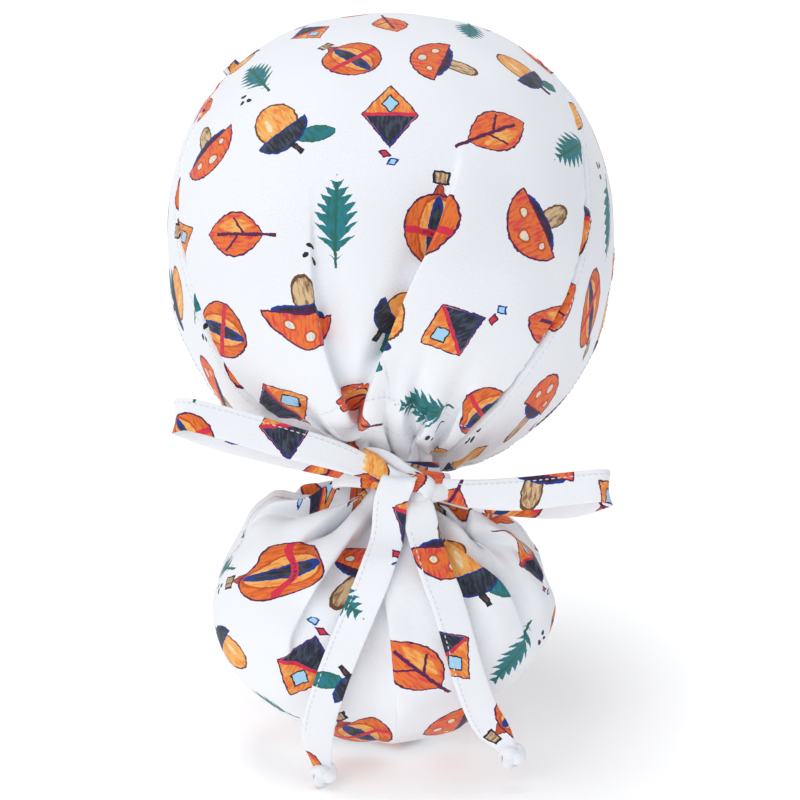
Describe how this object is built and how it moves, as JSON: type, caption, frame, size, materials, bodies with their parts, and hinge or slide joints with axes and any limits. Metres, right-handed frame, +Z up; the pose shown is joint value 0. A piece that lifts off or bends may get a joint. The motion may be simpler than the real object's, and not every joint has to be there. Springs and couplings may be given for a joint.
{
  "type": "tie-back surgical scrub cap with a hair pouch",
  "caption": "Cotton surgical cap with a rounded crown, a side and forehead band, a gathered nape tied in a bow, and a hanging pouch for long hair.",
  "frame": {"origin": "centre of the crown's hollow, where the middle of the wearer's head sits", "axes": "+Z up, +Y the way the wearer looks, so the bow and the pouch are at the back towards -Y, +X to the wearer's right"},
  "size_m": [0.2289, 0.2687, 0.3552],
  "materials": {
    "crown_cotton": "matt white cotton twill with a scattered print",
    "band_cotton": "matt white cotton twill with a scattered print, topstitched along the seam and the rim",
    "pouch_cotton": "matt white cotton twill with a scattered print, gathered",
    "tie_cotton": "matt white cotton twill, folded and topstitched flat ties"
  },
  "bodies": {
    "root": {"crown_panel": "crown_cotton", "brim_band": "band_cotton", "hair_pouch": "pouch_cotton", "tie_wrap": "tie_cotton", "bow_knot": "tie_cotton", "bow_loop_left": "tie_cotton", "bow_loop_right": "tie_cotton", "tie_tail_left": "tie_cotton", "tie_tail_right": "tie_cotton"}
  },
  "joints": []
}
